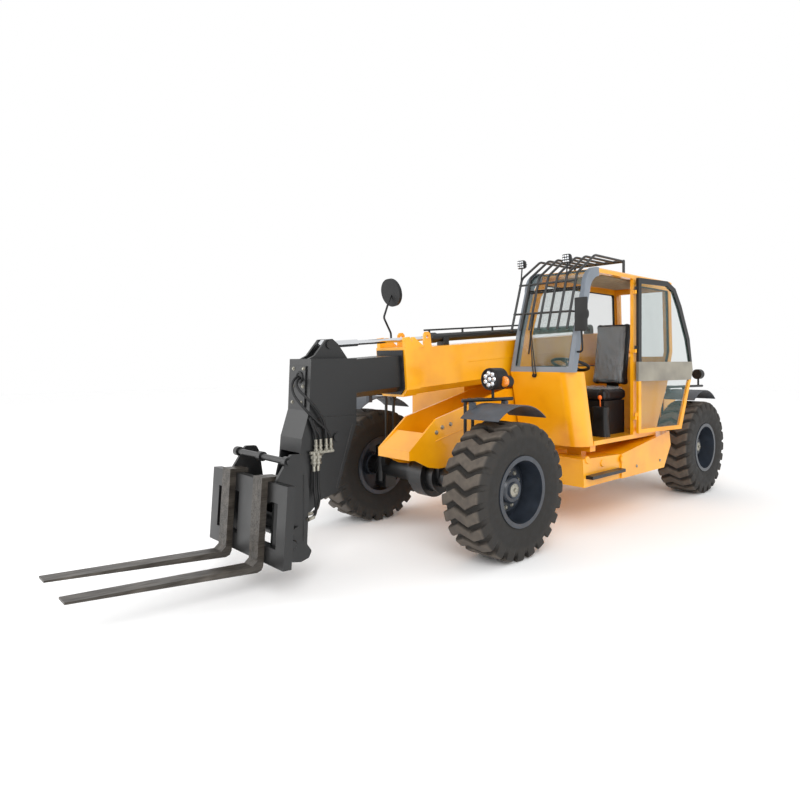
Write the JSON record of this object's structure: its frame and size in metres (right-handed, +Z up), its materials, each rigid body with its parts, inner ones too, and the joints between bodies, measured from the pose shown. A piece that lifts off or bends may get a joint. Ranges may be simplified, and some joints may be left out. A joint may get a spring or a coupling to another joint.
{
  "type": "telehandler",
  "caption": "Telescopic handler with a side cab, one-stage telescopic boom, pallet-fork carriage, four large lugged tyres, side engine pod and hinged cab door.",
  "frame": {"origin": "on the ground below the middle of the machine, fork tips to counterweight, on its centre plane", "axes": "+X forward towards the fork tips, +Y to the driver's left, the cab side, +Z up from the ground"},
  "size_m": [7.0968, 2.2248, 2.5858],
  "materials": {
    "body_paint": "gloss two-pack paint",
    "black_paint": "satin black paint",
    "grey_frame": "satin grey powder coat",
    "black_plastic": "moulded, grained",
    "fender_plastic": "moulded polyethylene",
    "chrome_rod": "hard chrome",
    "fork_steel": "forged, worn black paint",
    "cab_glass": "tempered, green tint",
    "seat_cover": "woven, under clear film",
    "tyre": "moulded rubber",
    "rim_paint": "dark blue-grey paint"
  },
  "bodies": {
    "chassis": {"chassis_frame": "body_paint", "counterweight": "body_paint", "axle_front": "black_paint", "axle_rear": "black_paint", "cab_floor": "body_paint", "cab_side_left": "body_paint", "cab_side_right": "body_paint", "cab_rear": "body_paint", "cab_roof": "body_paint", "cab_front_frame": "grey_frame", "cab_front_panel": "body_paint", "cab_glass": "cab_glass", "seat_base": "black_plastic", "seat_cushion": "seat_cover", "seat_back": "seat_cover", "steering_wheel": "black_plastic", "dashboard": "black_plastic", "engine_pod": "body_paint", "engine_block": "black_paint", "side_tank": "body_paint", "step": "black_paint", "fenders": "fender_plastic", "fender_brackets": "black_paint", "headlamps": "black_plastic", "screen_guard": "black_paint", "cab_mirror": "black_plastic", "tail_lamps": "black_plastic"},
    "door": {"door_frame_lower": "body_paint", "door_panel": "grey_frame", "door_frame_upper": "black_paint", "door_glass": "cab_glass"},
    "hood": {"engine_hood": "body_paint"},
    "boom": {"boom_outer_tube": "body_paint", "boom_wear_pads": "black_plastic", "extension_barrel": "black_paint", "boom_mirror": "black_plastic"},
    "boom_extension": {"boom_inner_tube": "black_paint", "boom_head": "black_paint", "extension_rod": "chrome_rod"},
    "carriage": {"carriage_frame": "black_paint", "forks": "fork_steel"},
    "lift_barrel": {"lift_barrel": "black_paint"},
    "lift_rod": {"lift_rod": "chrome_rod"},
    "tilt_barrel": {"tilt_barrel": "black_paint"},
    "tilt_rod": {"tilt_rod": "chrome_rod"},
    "knuckle_front_left": {"knuckle_front_left": "black_paint"},
    "wheel_front_left": {"tyre_front_left": "tyre", "rim_front_left": "rim_paint"},
    "knuckle_front_right": {"knuckle_front_right": "black_paint"},
    "wheel_front_right": {"tyre_front_right": "tyre", "rim_front_right": "rim_paint"},
    "knuckle_rear_left": {"knuckle_rear_left": "black_paint"},
    "wheel_rear_left": {"tyre_rear_left": "tyre", "rim_rear_left": "rim_paint"},
    "knuckle_rear_right": {"knuckle_rear_right": "black_paint"},
    "wheel_rear_right": {"tyre_rear_right": "tyre", "rim_rear_right": "rim_paint"}
  },
  "joints": [
    {"name": "boom_lift", "type": "hinge", "parent": "chassis", "child": "boom", "pos_m": [-2.625, 0, 1.734], "axis": [0, -1, 0], "range_deg": [-1.5, 60]},
    {"name": "boom_extend", "type": "slide", "parent": "boom", "child": "boom_extension", "axis": [0.9973, 0, -0.0732], "range_m": [0, 2.4]},
    {"name": "carriage_tilt", "type": "hinge", "parent": "boom_extension", "child": "carriage", "pos_m": [2.19, 0, 0.4], "axis": [0, 1, 0], "range_deg": [-9, 75]},
    {"name": "lift_barrel_swing", "type": "hinge", "parent": "chassis", "child": "lift_barrel", "pos_m": [-2.375, 0, 0.52], "axis": [0, -1, 0], "range_deg": [-1.31, 32.98]},
    {"name": "lift_rod_stroke", "type": "slide", "parent": "lift_barrel", "child": "lift_rod", "axis": [0.7746, 0, 0.6324], "range_m": [-0.0341, 0.9747]},
    {"name": "tilt_barrel_swing", "type": "hinge", "parent": "boom_extension", "child": "tilt_barrel", "pos_m": [1.73, 0, 0.985], "axis": [0, -1, 0], "range_deg": [-1.92, 12.31]},
    {"name": "tilt_rod_stroke", "type": "slide", "parent": "tilt_barrel", "child": "tilt_rod", "axis": [0.7186, 0, -0.6954], "range_m": [-0.039, 0.2519]},
    {"name": "door_swing", "type": "hinge", "parent": "chassis", "child": "door", "pos_m": [-1.311, 0.972, 1.5], "axis": [0, 0, -1], "range_deg": [0, 171]},
    {"name": "hood_lift", "type": "hinge", "parent": "chassis", "child": "hood", "pos_m": [-0.435, -0.2645, 1.453], "axis": [-1, 0, 0], "range_deg": [0, 60]},
    {"name": "steer_front_left", "type": "hinge", "parent": "chassis", "child": "knuckle_front_left", "pos_m": [0.625, 0.7, 0.5375], "axis": [0, 0, 1], "range_deg": [-35, 35]},
    {"name": "roll_front_left", "type": "hinge", "parent": "knuckle_front_left", "child": "wheel_front_left", "pos_m": [0.625, 0.876, 0.5375], "axis": [0, 1, 0], "continuous": true},
    {"name": "steer_front_right", "type": "hinge", "parent": "chassis", "child": "knuckle_front_right", "pos_m": [0.625, -0.7, 0.5375], "axis": [0, 0, 1], "range_deg": [-35.5, 35.5]},
    {"name": "roll_front_right", "type": "hinge", "parent": "knuckle_front_right", "child": "wheel_front_right", "pos_m": [0.625, -0.876, 0.5375], "axis": [0, 1, 0], "continuous": true},
    {"name": "steer_rear_left", "type": "hinge", "parent": "chassis", "child": "knuckle_rear_left", "pos_m": [-2.815, 0.7, 0.5375], "axis": [0, 0, 1], "range_deg": [-35, 35]},
    {"name": "roll_rear_left", "type": "hinge", "parent": "knuckle_rear_left", "child": "wheel_rear_left", "pos_m": [-2.815, 0.876, 0.5375], "axis": [0, 1, 0], "continuous": true},
    {"name": "steer_rear_right", "type": "hinge", "parent": "chassis", "child": "knuckle_rear_right", "pos_m": [-2.815, -0.7, 0.5375], "axis": [0, 0, 1], "range_deg": [-35.5, 35.5]},
    {"name": "roll_rear_right", "type": "hinge", "parent": "knuckle_rear_right", "child": "wheel_rear_right", "pos_m": [-2.815, -0.876, 0.5375], "axis": [0, 1, 0], "continuous": true}
  ],
  "couplings": [
    {"joint": "lift_barrel_swing", "follows": "boom_lift", "ratio": 0.5413},
    {"joint": "lift_rod_stroke", "follows": "boom_lift", "m_per_rad": 0.9212},
    {"joint": "tilt_barrel_swing", "follows": "carriage_tilt", "ratio": 0.1575},
    {"joint": "tilt_rod_stroke", "follows": "carriage_tilt", "m_per_rad": 0.1848},
    {"joint": "steer_front_right", "follows": "steer_front_left", "ratio": 1},
    {"joint": "steer_rear_right", "follows": "steer_rear_left", "ratio": 1}
  ]
}
